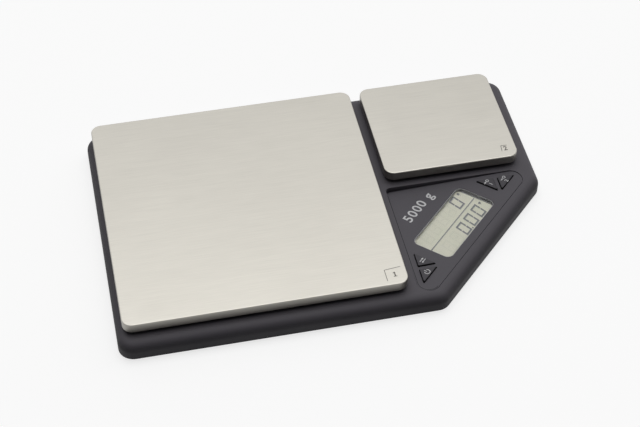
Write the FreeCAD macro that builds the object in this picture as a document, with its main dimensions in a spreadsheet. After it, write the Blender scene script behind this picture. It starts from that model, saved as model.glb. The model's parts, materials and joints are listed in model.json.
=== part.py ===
import FreeCAD, Part
import Sketcher
import math
import os
import re

# Kitchen scale with a large and a small weighing platform on one flat base.
# Millimetres. The origin is the bottom centre of the whole scale, +X to the right, +Y to the back, +Z up.

os.makedirs("parts", exist_ok=True)
doc = FreeCAD.newDocument("KitchenScale")
sheet = doc.addObject("Spreadsheet::Sheet", "Sizes")

driving = {
    # base shell
    "foot_height": 1.5,
    "shell_height": 10.5,
    "edge_round": 6,
    "base_round": 9,
    "side_wall": 2.2,
    "deck": 2,
    "cover_floor": 2,
    "cover_clearance": 0.15,
    "cover_lip": 1.4,
    "cover_lip_height": 1.5,
    # weighing platforms and their places on the base
    "left_margin": 3.7,
    "right_margin": 9.55,
    "front_margin": 8.4,
    "back_margin": 2.2,
    "small_back_margin": 2.7,
    "platform_gap": 6.35,
    "large_side": 160,
    "small_width": 81.8,
    "small_depth": 75.3,
    "platform_round": 6,
    "platform_clearance": 2.3,
    "skirt": 5.7,
    "steel": 0.8,
    "steel_edge_round": 0.6,
    "carrier": 2,
    "carrier_clearance": 0.4,
    "carrier_rib": 1.6,
    "carrier_rib_height": 1.8,
    "platform_pad": 0.4,
    "pad_radius": 8,
    "platform_travel": 0.4,
    "stop_clearance": 0.1,
    "stop_radius": 2.5,
    "stop_inset": 19,
    # bending beams, their spacers and screws
    "beam_height": 5.2,
    "large_beam_length": 70,
    "large_beam_width": 14,
    "large_end_hole": 5,
    "large_hole_pitch": 10,
    "small_beam_length": 47,
    "small_beam_width": 12,
    "small_end_hole": 4.5,
    "small_hole_pitch": 7.5,
    "spacer": 0.7,
    "spacer_margin": 4.5,
    "beam_eye_radius": 2,
    "beam_eye_pitch": 14,
    "beam_slot": 1,
    "boss_opening_clearance": 1.5,
    "sealant": 1.2,
    "sealant_length": 12,
    "sealant_height": 3.6,
    "screw_radius": 1.5,
    "screw_head_radius": 2.6,
    "screw_head": 1.1,
    "screw_fit": 0.05,
    "screw_hole_clearance": 0.2,
    "screw_recess": 0.1,
    "screw_bite": 4.2,
    "cross_width": 0.5,
    "cross_depth": 0.6,
    "boss_screw_depth": 5,
    # housing screws and feet
    "post_radius": 3,
    "post_inset": 9,
    "post_screw_radius": 1.1,
    "post_screw_head_radius": 2.2,
    "post_screw_depth": 4,
    "foot_radius": 6,
    "foot_recess": 0.5,
    "foot_inset": 19,
    "foot_fit": 0.05,
    "foot_bevel": 0.4,
    # sunk control panel, in its own tilted frame
    "panel_side_gap": 5.4,
    "panel_back_gap": 4.1,
    "panel_depth": 64.6,
    "panel_rim": 7.6,
    "panel_tilt": 3,
    "panel": 1.6,
    "panel_end_round": 6.8,
    "panel_tip_round": 2.5,
    "panel_clearance": 0.25,
    "ledge": 1,
    "ledge_thickness": 1.2,
    "cradle_wall": 1.6,
    # keys and their switches
    "key_leg": 15.9,
    "key_front": 8.1,
    "key_margin": 3.65,
    "key_clearance": 0.35,
    "key_stagger": 1.45,
    "key_rise": 1,
    "key_flange": 0.8,
    "key_flange_width": 0.6,
    "key_flange_round": 1.2,
    "key_play": 0.1,
    "key_travel": 0.5,
    "key_round": 0.5,
    "key_edge_round": 0.3,
    "switch_side": 4.5,
    "switch_gap": 0.1,
    "switch_floor": 0.2,
    "plunger_radius": 1,
    "plunger_fit": 0.05,
    # display
    "window_height": 25.5,
    "window_centre": 17.9,
    "window_key_gap": 8.68,
    "window_round": 4,
    "window_glue": 1.5,
    "window": 0.6,
    "display_gap": 0.2,
    "display": 1.2,
    "display_side": 0.8,
    "display_ledge": 2.2,
    "zebra_height": 0.8,
    "zebra_width": 1.4,
    "zebra_end_gap": 2,
    "frame_wall": 0.8,
    "frame_clearance": 0.1,
    "frame_shelf": 0.6,
    # circuit board
    "board": 1,
    "board_front": 4,
    "board_margin": 3,
    "board_end_gap": 14.6,
    "board_row_gap": 1.75,
    "board_back_edge": 3.6,
    "chip_radius": 2.9,
    "chip_height": 1.2,
    "board_post_radius": 1.8,
    "board_screw_radius": 0.7,
    "board_screw_head_radius": 1.5,
    "board_screw_head": 0.6,
    "board_screw_depth": 2.2,
    "board_post_gap": 1.95,
    "board_post_front": 6.4,
    "board_post_edge": 5.4,
    "component_row": 12,
    "plug_length": 4,
    "plug_width": 3,
    "plug_height": 1.5,
    # battery compartment
    "coin_radius": 10,
    "coin_height": 3.2,
    "coin_gap": 1.4,
    "coin_clearance": 0.6,
    "battery_offset_x": 67,
    "battery_offset_y": 27,
    "door": 1.2,
    "door_margin_x": 2.7,
    "door_margin_y": 2.6,
    "door_clearance": 0.25,
    "door_pin_radius": 0.5,
    "door_pin_length": 1.4,
    "door_pin_fit": 0.05,
    "door_knuckle_radius": 0.8,
    "door_headroom": 0.5,
    "well_wall": 1.6,
    "well_roof": 1,
    "contact": 0.2,
    "contact_spring": 0.3,
    "contact_width": 9,
    "latch_width": 8,
    "latch": 0.9,
    "latch_height": 1.8,
    # wires
    "wire_radius": 0.55,
    "wire_height": 0.8,
}

for row, (name, size) in enumerate(driving.items(), start=1):
    sheet.set(f"A{row}", name)
    sheet.set(f"B{row}", str(size))
    sheet.setAlias(f"B{row}", name)
doc.recompute()

# Lengths and places that follow from the sheet. A name may use the sheet's names and the names above it.
derived = {
    "root_two": "sqrt(2)",
    "floor_top": "foot_height + cover_floor",
    "deck_top": "foot_height + shell_height",
    "deck_under": "deck_top - deck",
    "skirt_bottom": "deck_top + platform_clearance",
    "platform_top": "skirt_bottom + skirt",
    "carrier_top": "platform_top - steel - platform_pad",
    "carrier_under": "carrier_top - carrier",
    "base_length": "left_margin + large_side + platform_gap + small_width + right_margin",
    "base_depth": "front_margin + large_side + back_margin",
    "base_right": "base_length / 2",
    "base_left": "-base_right",
    "base_back": "base_depth / 2",
    "base_front": "-base_back",
    "large_left": "base_left + left_margin",
    "large_right": "large_left + large_side",
    "large_front": "base_front + front_margin",
    "large_back": "large_front + large_side",
    "small_right": "base_right - right_margin",
    "small_left": "small_right - small_width",
    "small_back": "base_back - small_back_margin",
    "small_front": "small_back - small_depth",
    "large_x": "(large_left + large_right) / 2",
    "large_y": "(large_front + large_back) / 2",
    "small_x": "(small_left + small_right) / 2",
    "small_y": "(small_front + small_back) / 2",
    "beam_bottom": "floor_top + spacer",
    "beam_top": "beam_bottom + beam_height",
    "boss_bottom": "beam_top + spacer",
    "panel_left": "large_right + panel_side_gap",
    "panel_back": "small_front - panel_back_gap",
    "panel_x": "panel_left + panel_depth / root_two",
    "panel_y": "panel_back - panel_depth / root_two",
    "diagonal": "panel_left - panel_back + (panel_depth + panel_rim) * root_two",
    "key_side": "panel_depth - key_margin * root_two - key_leg - key_front",
    "flange_top": "-panel - key_play",
    "flange_bottom": "flange_top - key_flange",
    "window_half": "key_side - window_key_gap",
    "window_low": "window_centre - window_height / 2",
    "window_high": "window_centre + window_height / 2",
    "display_top": "-panel - window - display_gap",
    "display_bottom": "display_top - display",
    "display_half": "window_half + display_side",
    "display_low": "window_low - display_side",
    "display_high": "window_high + display_ledge",
    "board_top": "display_bottom - zebra_height",
    "board_bottom": "board_top - board",
    "board_half": "panel_depth - board_end_gap",
    "board_row": "display_high + frame_wall + frame_clearance + board_row_gap + chip_radius",
    "board_back": "board_row + board_back_edge",
    "board_post_front_side": "window_half + window_glue + board_post_gap + board_post_radius",
    "board_post_back_side": "panel_depth - board_margin * root_two - board_row - board_post_edge",
    "switch_top": "flange_bottom - key_travel - switch_gap",
    "battery_x": "large_left + battery_offset_x",
    "battery_y": "large_front + battery_offset_y",
    "well_half_x": "2 * coin_radius + coin_gap / 2 + coin_clearance",
    "well_half_y": "coin_radius + coin_clearance",
    "door_half_x": "well_half_x + door_margin_x",
    "door_half_y": "well_half_y + door_margin_y",
    "door_top": "foot_height + door",
    "door_axis_x": "battery_x - door_half_x + door_knuckle_radius",
    "door_axis_z": "foot_height + door_knuckle_radius",
    "coin_bottom": "door_top + contact",
    "coin_top": "coin_bottom + coin_height",
    "well_roof_under": "coin_top + contact_spring + contact",
    "well_top": "well_roof_under + well_roof",
    "post_screw_top": "foot_height + screw_recess + screw_head + post_screw_depth",
}


def spell_out(text):
    def replace(found):
        word = found.group(0)
        if word in derived:
            return "(" + spell_out(derived[word]) + ")"
        if word in driving:
            return "Sizes." + word
        return word
    return re.sub(r"\b[a-z_]+\b", replace, str(text))


def number(text):
    return float(sheet.evalExpression(spell_out(text)))


def bind(thing, **sizes):
    for name, text in sizes.items():
        thing.setExpression(name.replace("__", "."), spell_out(text))
    return thing


def place(thing, x, y, z):
    return bind(thing, Placement__Base__x=x, Placement__Base__y=y, Placement__Base__z=z)


# Building blocks

def box(name, low, size):
    thing = doc.addObject("Part::Box", name)
    bind(thing, Length=size[0], Width=size[1], Height=size[2])
    return place(thing, *low)


def centred_box(name, centre, half, low, height):
    corner = (f"{centre[0]} - ({half[0]})", f"{centre[1]} - ({half[1]})", low)
    return box(name, corner, (f"2 * ({half[0]})", f"2 * ({half[1]})", height))


def cylinder(name, radius, start, length, along="z"):
    thing = doc.addObject("Part::Cylinder", name)
    bind(thing, Radius=radius, Height=length)
    turns = {"x": ((0, 1, 0), 90), "y": ((1, 0, 0), -90), "z": ((0, 0, 1), 0)}
    axis, angle = turns[along]
    thing.Placement = FreeCAD.Placement(FreeCAD.Vector(), FreeCAD.Rotation(FreeCAD.Vector(*axis), angle))
    return place(thing, *start)


def cut(name, base, *tools):
    thing = doc.addObject("Part::Cut", name)
    thing.Base = base
    thing.Tool = tools[0] if len(tools) == 1 else group(name + "_tools", *tools)
    return thing


def fuse(name, *pieces):
    thing = doc.addObject("Part::MultiFuse", name)
    thing.Shapes = list(pieces)
    thing.Refine = True
    return thing


def common(name, *pieces):
    thing = doc.addObject("Part::MultiCommon", name)
    thing.Shapes = list(pieces)
    return thing


def group(name, *pieces):
    thing = doc.addObject("Part::Compound", name)
    thing.Links = list(pieces)
    return thing


def outline_sketch(body, name, corners, level):
    sketch = body.newObject("Sketcher::SketchObject", name)
    plane = [item for item in body.Origin.OriginFeatures if item.Role == "XY_Plane"][0]
    sketch.AttachmentSupport = [(plane, "")]
    sketch.MapMode = "FlatFace"
    bind(sketch, AttachmentOffset__Base__z=level)
    points = [FreeCAD.Vector(number(x), number(y), 0) for x, y in corners]
    following = points[1:] + points[:1]
    for point, after in zip(points, following):
        sketch.addGeometry(Part.LineSegment(point, after), False)
    for index in range(len(points)):
        sketch.addConstraint(Sketcher.Constraint("Coincident", index, 2, (index + 1) % len(points), 1))
    for index, corner in enumerate(corners):
        for kind, text in zip(("DistanceX", "DistanceY"), corner):
            made = sketch.addConstraint(Sketcher.Constraint(kind, -1, 1, index, 1, number(text)))
            sketch.setExpression(f"Constraints[{made}]", spell_out(text))
    return sketch


def add_pad(body, name, corners, level, height):
    pad = body.newObject("PartDesign::Pad", name + "_pad")
    pad.Profile = outline_sketch(body, name + "_outline", corners, level)
    bind(pad, Length=height)
    doc.recompute()
    return pad


def round_edges(body, name, radius, wanted):
    base = body.Tip
    edges = [f"Edge{index}" for index, edge in enumerate(base.Shape.Edges, start=1) if wanted(edge)]
    if not edges:
        raise RuntimeError("no edge to round on " + name)
    fillet = body.newObject("PartDesign::Fillet", name)
    fillet.Base = (base, edges)
    bind(fillet, Radius=radius)
    doc.recompute()


def upright_near(corners):
    spots = [(number(x), number(y)) for x, y in corners]

    def wanted(edge):
        ends = [vertex.Point for vertex in edge.Vertexes]
        if len(ends) != 2 or abs(ends[0].z - ends[1].z) < 1e-6:
            return False
        if math.dist(ends[0][:2], ends[1][:2]) > 1e-6:
            return False
        return min(math.dist(ends[0][:2], spot) for spot in spots) < 1e-4
    return wanted


def flat_at(level):
    height = number(level)

    def wanted(edge):
        return all(abs(vertex.Z - height) < 1e-6 for vertex in edge.Vertexes)
    return wanted


def prism(name, corners, level, height, rounds=None, top_round=None):
    body = doc.addObject("PartDesign::Body", name)
    add_pad(body, name, corners, level, height)
    if isinstance(rounds, str):
        rounds = [rounds] * len(corners)
    for place_in_row, radius in enumerate(dict.fromkeys(rounds or [])):
        chosen = [corner for corner, wish in zip(corners, rounds) if wish == radius]
        round_edges(body, f"{name}_corner_{place_in_row}", radius, upright_near(chosen))
    if top_round:
        round_edges(body, name + "_rim", top_round, flat_at(f"{level} + {height}"))
    return body


def rectangle(left, front, right, back):
    return [(left, front), (right, front), (right, back), (left, back)]


def rounded_block(name, centre, half, level, height, corner_round, top_round=None):
    corners = rectangle(
        f"{centre[0]} - ({half[0]})", f"{centre[1]} - ({half[1]})",
        f"{centre[0]} + ({half[0]})", f"{centre[1]} + ({half[1]})")
    return prism(name, corners, level, height, corner_round, top_round)


nodes = []


def finish(thing, name, placement=None):
    thing.Label = name
    if placement:
        thing.Placement = placement
    nodes.append(thing)
    return thing


def screw(name, x, y, head_start, shank_radius, head_radius, head, length, upwards=True):
    # The head starts at head_start and the shank goes on from it, up or down.
    turn = "" if upwards else "-"
    head_low = head_start if upwards else f"{head_start} - ({head})"
    shank_low = f"{head_start} + ({head})" if upwards else f"{head_start} - ({head}) - ({length})"
    cap = cylinder(name + "_head", head_radius, (x, y, head_low), head)
    shank = cylinder(name + "_shank", shank_radius, (x, y, shank_low), length)
    recess_low = head_start if upwards else f"{head_start} {turn} cross_depth"
    arm = f"({head_radius}) * 0.7"
    across = centred_box(name + "_cross_x", (x, y), (arm, "cross_width / 2"), recess_low, "cross_depth")
    along = centred_box(name + "_cross_y", (x, y), ("cross_width / 2", arm), recess_low, "cross_depth")
    return cut(name, fuse(name + "_blank", cap, shank), across, along)


# Base shell

def base_outline(inset):
    diagonal_inset = f"(diagonal - ({inset}) * root_two)"
    front = f"base_front + ({inset})"
    right = f"base_right - ({inset})"
    return [
        (f"base_left + ({inset})", front),
        (f"{diagonal_inset} + {front}", front),
        (right, f"{right} - {diagonal_inset}"),
        (right, f"base_back - ({inset})"),
        (f"base_left + ({inset})", f"base_back - ({inset})"),
    ]


panel_placement = FreeCAD.Placement(
    FreeCAD.Vector(number("panel_x"), number("panel_y"), number("deck_top")),
    FreeCAD.Rotation(FreeCAD.Vector(0, 0, 1), 45)
    * FreeCAD.Rotation(FreeCAD.Vector(1, 0, 0), -number("panel_tilt")))

# The panel's own frame: its first axis runs along the cut-off corner, its second one points to the inner
# corner, and level 0 is the panel's face.


def panel_outline(inset):
    side = f"panel_depth - ({inset}) * (root_two + 1)"
    return [(f"-({side})", inset), (side, inset), ("0", f"panel_depth - ({inset}) * root_two")]


def panel_prism(name, inset, level, height):
    ends = f"panel_end_round - ({inset})"
    tip = f"panel_tip_round - ({inset})"
    return prism(name, panel_outline(inset), level, height, [ends, ends, tip])


post_places = [
    ("base_left + post_inset", "base_front + post_inset"),
    ("base_left + post_inset", "base_back - post_inset"),
    ("base_right - post_inset", "base_back - post_inset"),
    ("base_right - post_inset", "panel_back + cradle_wall + post_inset"),
    ("min(panel_left - post_inset - cradle_wall; diagonal + base_front - 2 * post_inset)",
     "base_front + post_inset"),
    ("large_x", "base_front + post_inset"),
    ("large_x", "base_back - post_inset"),
    ("large_right + platform_gap / 2", "base_back - post_inset"),
]


def boss_centre_x(prefix):
    return f"{prefix}_x - {prefix}_beam_length / 2 + {prefix}_end_hole + {prefix}_hole_pitch / 2"


def boss_half_x(prefix):
    return f"{prefix}_hole_pitch / 2 + spacer_margin"


def make_top_housing():
    outer = prism("shell_outer", base_outline("0"), "foot_height", "shell_height", "base_round", "edge_round")
    hollow = prism(
        "shell_hollow", base_outline("side_wall"), "foot_height", "shell_height - deck",
        "base_round - side_wall", "edge_round - side_wall")
    shell = cut("shell", outer, hollow)
    cradle_outer = panel_prism(
        "cradle_outer", "-cradle_wall", "-panel - ledge_thickness", "panel + ledge_thickness + deck_top")
    cradle_outer.Placement = panel_placement
    below_deck = centred_box(
        "cradle_zone", ("0", "0"), ("base_right", "base_back"), "foot_height",
        "shell_height - deck / 2")
    cradle = common("cradle", cradle_outer, below_deck)
    posts = [
        cylinder(f"post_{index}", "post_radius", (x, y, "floor_top"), "deck_under + deck / 2 - floor_top")
        for index, (x, y) in enumerate(post_places)]
    body = fuse("housing_body", shell, cradle, *posts)
    sink = panel_prism("panel_sink", "-panel_clearance", "-panel", "panel + deck_top")
    sink.Placement = panel_placement
    opening = panel_prism("panel_opening", "ledge", "-deck_top", "2 * deck_top")
    opening.Placement = panel_placement
    post_holes = [
        cylinder(f"post_hole_{index}", "post_screw_radius + screw_fit", (x, y, "foot_height"),
                 "post_screw_top + screw_fit - foot_height")
        for index, (x, y) in enumerate(post_places)]
    boss_openings = [
        centred_box(
            prefix + "_boss_opening", (boss_centre_x(prefix), prefix + "_y"),
            (boss_half_x(prefix) + " + boss_opening_clearance",
             f"{prefix}_beam_width / 2 + boss_opening_clearance"),
            "deck_under - deck", "3 * deck")
        for prefix in ("large", "small")]
    finish(cut("top_housing", body, sink, opening, *post_holes, *boss_openings), "top_housing")


foot_places = [
    ("base_left + foot_inset", "base_front + foot_inset"),
    ("base_left + foot_inset", "base_back - foot_inset"),
    ("base_right - foot_inset", "base_back - foot_inset"),
    ("base_right - foot_inset", "panel_back + foot_inset"),
    ("panel_left - foot_inset", "base_front + foot_inset"),
]


def fixed_screw_places(prefix):
    last = f"{prefix}_x + {prefix}_beam_length / 2 - {prefix}_end_hole"
    return [(last, prefix + "_y"), (f"{last} - {prefix}_hole_pitch", prefix + "_y")]


def free_screw_places(prefix):
    first = f"{prefix}_x - {prefix}_beam_length / 2 + {prefix}_end_hole"
    return [(first, prefix + "_y"), (f"{first} + {prefix}_hole_pitch", prefix + "_y")]


def make_bottom_cover():
    inset = "side_wall + cover_clearance"
    lip_inset = inset + " + cover_lip"
    rounds = f"base_round - ({inset})"
    floor = prism("floor_plate", base_outline(inset), "foot_height", "cover_floor", rounds)
    lip_rise = "cover_floor + cover_lip_height"
    lip_outer = prism("lip_outer", base_outline(inset), "foot_height", lip_rise, rounds)
    lip_inner = prism(
        "lip_inner", base_outline(lip_inset), "foot_height", lip_rise, f"base_round - ({lip_inset})")
    lip = cut("lip", lip_outer, lip_inner)
    centre = ("battery_x", "battery_y")
    well = centred_box(
        "well_block", centre, ("door_half_x + well_wall", "door_half_y + well_wall"),
        "foot_height", "well_top - foot_height")
    tray = fuse("cover_body", floor, lip, well)
    tools = [
        centred_box("well_hollow", centre, ("well_half_x", "well_half_y"),
                    "foot_height", "well_roof_under - foot_height"),
        centred_box("door_opening", centre, ("door_half_x + door_clearance", "door_half_y + door_clearance"),
                    "0", "door_top + door_headroom"),
        cylinder("door_pin_hole", "door_pin_radius + door_pin_fit",
                 ("door_axis_x", "battery_y - door_half_y - door_pin_length - door_clearance", "door_axis_z"),
                 "2 * (door_half_y + door_pin_length + door_clearance)", "y"),
        centred_box(
            "latch_slot", ("battery_x + door_half_x - latch / 2", "battery_y"),
            ("latch / 2 + door_clearance", "latch_width / 2 + door_clearance"),
            "0", "door_top + latch_height + door_clearance"),
        centred_box(
            "finger_notch", ("battery_x + door_half_x + door_clearance", "battery_y"),
            ("well_wall / 2", "latch_width / 2"), "0", "foot_height + door / 2"),
    ]
    for index, (x, y) in enumerate(foot_places):
        tools.append(cylinder(
            f"foot_seat_{index}", "foot_radius + foot_fit", (x, y, "0"), "foot_height + foot_recess"))
    for index, (x, y) in enumerate(post_places):
        tools.append(cylinder(
            f"cover_hole_{index}", "post_screw_radius + screw_hole_clearance", (x, y, "0"), "floor_top"))
        tools.append(cylinder(
            f"cover_sink_{index}", "post_screw_head_radius + screw_hole_clearance", (x, y, "0"),
            "foot_height + screw_recess + screw_head"))
    for index, (x, y) in enumerate(fixed_screw_places("large") + fixed_screw_places("small")):
        tools.append(cylinder(
            f"beam_hole_{index}", "screw_radius + screw_hole_clearance", (x, y, "0"), "floor_top"))
        tools.append(cylinder(
            f"beam_sink_{index}", "screw_head_radius + screw_hole_clearance", (x, y, "0"),
            "foot_height + screw_recess + screw_head"))
    finish(cut("bottom_cover", tray, *tools), "bottom_cover")


def make_feet():
    feet = []
    for index, (x, y) in enumerate(foot_places):
        bevel = doc.addObject("Part::Cone", f"foot_bevel_{index}")
        bind(bevel, Radius1="foot_radius - foot_bevel", Radius2="foot_radius", Height="foot_bevel")
        place(bevel, x, y, "0")
        disc = cylinder(
            f"foot_disc_{index}", "foot_radius", (x, y, "foot_bevel"),
            "foot_height + foot_recess - foot_bevel")
        feet.append(fuse(f"foot_{index}", bevel, disc))
    finish(group("feet", *feet), "feet")


def make_housing_screws():
    screws = [
        screw(f"housing_screw_{index}", x, y, "foot_height + screw_recess", "post_screw_radius",
              "post_screw_head_radius", "screw_head", "post_screw_depth")
        for index, (x, y) in enumerate(post_places)]
    finish(group("housing_screws", *screws), "housing_screws")


# Weighing platforms, each on a bending beam whose right end is fixed to the bottom cover

def make_platform(prefix, half_x, half_y):
    x = prefix + "_x"
    y = prefix + "_y"
    centre = (x, y)
    skin = rounded_block(
        prefix + "_plate_outer", centre, (half_x, half_y), "skirt_bottom", "skirt",
        "platform_round", "steel_edge_round")
    inside = rounded_block(
        prefix + "_plate_inner", centre, (f"{half_x} - steel", f"{half_y} - steel"),
        "skirt_bottom", "skirt - steel", "platform_round - steel")
    finish(cut(prefix + "_plate", skin, inside), prefix + "_platform_plate")

    gap = "steel + carrier_clearance"
    plate = rounded_block(
        prefix + "_carrier_plate", centre, (f"{half_x} - ({gap})", f"{half_y} - ({gap})"),
        "carrier_under", "carrier", f"platform_round - ({gap})")
    rib_outer = rounded_block(
        prefix + "_rib_outer", centre, (f"{half_x} - ({gap})", f"{half_y} - ({gap})"),
        "carrier_under - carrier_rib_height", "carrier_rib_height + carrier / 2", f"platform_round - ({gap})")
    rib_inner = rounded_block(
        prefix + "_rib_inner", centre,
        (f"{half_x} - ({gap}) - carrier_rib", f"{half_y} - ({gap}) - carrier_rib"),
        "carrier_under - carrier_rib_height", "carrier_rib_height + carrier / 2",
        f"platform_round - ({gap}) - carrier_rib")
    rib = cut(prefix + "_rib", rib_outer, rib_inner)
    long_rib = centred_box(
        prefix + "_long_rib", centre, (f"{half_x} - ({gap})", "carrier_rib / 2"),
        "carrier_under - carrier_rib_height", "carrier_rib_height + carrier / 2")
    cross_rib = centred_box(
        prefix + "_cross_rib", centre, ("carrier_rib / 2", f"{half_y} - ({gap})"),
        "carrier_under - carrier_rib_height", "carrier_rib_height + carrier / 2")
    boss = centred_box(
        prefix + "_boss", (boss_centre_x(prefix), y), (boss_half_x(prefix), f"{prefix}_beam_width / 2"),
        "boss_bottom", "carrier_under + carrier / 2 - boss_bottom")
    corner_places = [
        (f"{x} + {side_x} * ({half_x} - stop_inset)", f"{y} + {side_y} * ({half_y} - stop_inset)")
        for side_x in (-1, 1)
        for side_y in (-1, 1)]
    stop_low = "deck_top + platform_travel + stop_clearance"
    stops = [
        cylinder(
            f"{prefix}_stop_{index}", "stop_radius", (*corner, stop_low),
            f"carrier_under + carrier / 2 - ({stop_low})")
        for index, corner in enumerate(corner_places)]
    blank = fuse(prefix + "_carrier_blank", plate, rib, long_rib, cross_rib, boss, *stops)
    screw_seat = "boss_bottom + boss_screw_depth"
    holes = []
    for index, (hole_x, hole_y) in enumerate(free_screw_places(prefix)):
        holes.append(cylinder(
            f"{prefix}_boss_hole_{index}", "screw_radius + screw_hole_clearance",
            (hole_x, hole_y, "boss_bottom"), "boss_screw_depth"))
        holes.append(cylinder(
            f"{prefix}_boss_sink_{index}", "screw_head_radius + screw_hole_clearance",
            (hole_x, hole_y, screw_seat), "platform_top"))
    finish(cut(prefix + "_carrier", blank, *holes), prefix + "_platform_carrier")

    pads = [
        cylinder(f"{prefix}_pad_{index}", "pad_radius", (*corner, "carrier_top"), "platform_pad")
        for index, corner in enumerate(corner_places)]
    finish(group(prefix + "_pads", *pads), prefix + "_platform_pads")

    screws = [
        screw(f"{prefix}_free_screw_{index}", hole_x, hole_y, f"{screw_seat} + screw_head",
              "screw_radius", "screw_head_radius", "screw_head",
              "boss_screw_depth + spacer + screw_bite", upwards=False)
        for index, (hole_x, hole_y) in enumerate(free_screw_places(prefix))]
    finish(group(prefix + "_free_screws", *screws), prefix + "_carrier_screws")


def make_spacer(prefix, end, places, low):
    middle = f"({places[0][0]} + {places[1][0]}) / 2"
    blank = centred_box(
        f"{prefix}_{end}_spacer_blank", (middle, prefix + "_y"),
        (boss_half_x(prefix), f"{prefix}_beam_width / 2"), low, "spacer")
    holes = [
        cylinder(f"{prefix}_{end}_spacer_hole_{index}", "screw_radius + screw_hole_clearance",
                 (x, y, low), "spacer")
        for index, (x, y) in enumerate(places)]
    finish(cut(f"{prefix}_{end}_spacer", blank, *holes), f"{prefix}_beam_{end}_spacer")


def make_beam(prefix):
    x = prefix + "_x"
    y = prefix + "_y"
    half = f"{prefix}_beam_width / 2"
    blank = centred_box(
        prefix + "_beam_blank", (x, y), (f"{prefix}_beam_length / 2", half), "beam_bottom", "beam_height")
    middle = "beam_bottom + beam_height / 2"
    tools = [
        cylinder(f"{prefix}_eye_{side}", "beam_eye_radius",
                 (f"{x} {side} beam_eye_pitch / 2", f"{y} - ({half})", middle), f"2 * {half}", "y")
        for side in ("-", "+")]
    tools.append(centred_box(
        prefix + "_eye_slot", (x, y), ("beam_eye_pitch / 2", half), f"{middle} - beam_slot / 2", "beam_slot"))
    for index, (hole_x, hole_y) in enumerate(free_screw_places(prefix) + fixed_screw_places(prefix)):
        tools.append(cylinder(
            f"{prefix}_beam_thread_{index}", "screw_radius + screw_fit", (hole_x, hole_y, "beam_bottom"),
            "beam_height"))
    finish(cut(prefix + "_beam", blank, *tools), prefix + "_load_cell")
    side_seal = box(
        prefix + "_side_seal",
        (f"{x} - sealant_length / 2", f"{y} - ({half}) - sealant", f"{middle} - sealant_height / 2"),
        ("sealant_length", "sealant", "sealant_height"))
    finish(side_seal, prefix + "_gauge_sealant")
    make_spacer(prefix, "fixed", fixed_screw_places(prefix), "floor_top")
    make_spacer(prefix, "free", free_screw_places(prefix), "beam_top")
    screws = [
        screw(f"{prefix}_fixed_screw_{index}", hole_x, hole_y, "foot_height + screw_recess", "screw_radius",
              "screw_head_radius", "screw_head",
              "cover_floor - screw_recess - screw_head + spacer + screw_bite")
        for index, (hole_x, hole_y) in enumerate(fixed_screw_places(prefix))]
    finish(group(prefix + "_fixed_screws", *screws), prefix + "_load_cell_screws")


# Control panel, in its own frame

def key_place(side, half, first, second):
    # Half "outer" of a pair lies along the panel's edge, and half "front" along the cut-off corner. A bar of
    # the panel parts them: one key of each pair stands key_stagger back from the line between the two.
    if half == "front":
        first, second = second, first
    if side == 1 and half == "front":
        first, second = f"{first} + key_stagger", f"{second} - key_stagger"
    if side == -1 and half == "outer":
        first, second = f"{first} - key_stagger", f"{second} + key_stagger"
    return f"{side} * (key_side + {first})", f"key_front + {second}"


def key_corners(side, half, inset):
    # Each key is half of a square cut from corner to corner, moved in on all sides by the inset
    low = f"({inset})"
    near = f"({inset}) * (1 + root_two)"
    middle = "key_leg / 2"
    return [
        key_place(side, half, low, near),
        key_place(side, half, f"{middle} - ({inset}) * root_two", middle),
        key_place(side, half, low, f"key_leg - {near}")]


def key_centre(side, half):
    return key_place(side, half, "key_leg / 6", "key_leg / 2")


keys = [("tare_1", 1, "outer"), ("tare_2", 1, "front"), ("unit", -1, "outer"), ("power", -1, "front")]
board_posts = [
    (f"{side} * {across}", along)
    for side in (-1, 1)
    for across, along in (
        ("board_post_front_side", "board_post_front"),
        ("board_post_back_side", "board_row"))]


def make_control_panel():
    plate = panel_prism("panel_plate", "0", "-panel", "panel")
    posts = [
        cylinder(f"board_post_{index}", "board_post_radius", (x, y, "board_top"), "-panel / 2 - board_top")
        for index, (x, y) in enumerate(board_posts)]
    blank = fuse("panel_blank", plate, *posts)
    window = rounded_block(
        "window_opening", ("0", "window_centre"), ("window_half", "window_height / 2"),
        "-2 * panel", "3 * panel", "window_round")
    tools = [window]
    for name, side, half in keys:
        corners = key_corners(side, half, "0")
        tools.append(prism(name + "_opening", corners, "-2 * panel", "3 * panel", "key_round"))
    for index, (x, y) in enumerate(board_posts):
        tools.append(cylinder(
            f"board_post_hole_{index}", "board_screw_radius + screw_fit", (x, y, "board_top"),
            "board_screw_depth + screw_fit"))
    finish(cut("control_panel", blank, *tools), "control_panel", panel_placement)


def make_key(name, side, half):
    body = doc.addObject("PartDesign::Body", name + "_body")
    flange = key_corners(side, half, "-key_flange_width")
    cap = key_corners(side, half, "key_clearance")
    add_pad(body, name + "_flange", flange, "flange_bottom", "key_flange")
    round_edges(body, name + "_flange_corners", "key_flange_round", upright_near(flange))
    add_pad(body, name + "_cap", cap, "flange_bottom", "-flange_bottom + key_rise")
    round_edges(body, name + "_corners", "key_round", upright_near(cap))
    round_edges(body, name + "_rim", "key_edge_round", flat_at("key_rise"))
    finish(body, name + "_key", panel_placement)
    x, y = key_centre(side, half)
    plunger = cylinder(
        name + "_plunger", "plunger_radius", (x, y, "switch_top - key_travel"),
        "flange_bottom - switch_top + key_travel")
    finish(group(name + "_plunger_piece", plunger), name + "_switch_plunger", panel_placement)


def make_switches():
    bodies = []
    for name, side, half in keys:
        x, y = key_centre(side, half)
        block = centred_box(
            name + "_switch_block", (x, y), ("switch_side / 2", "switch_side / 2"),
            "board_top", "switch_top - board_top")
        bore = cylinder(
            name + "_switch_bore", "plunger_radius + plunger_fit", (x, y, "board_top + switch_floor"),
            "switch_top - board_top")
        bodies.append(cut(name + "_switch", block, bore))
    finish(group("switches", *bodies), "key_switches", panel_placement)


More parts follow.
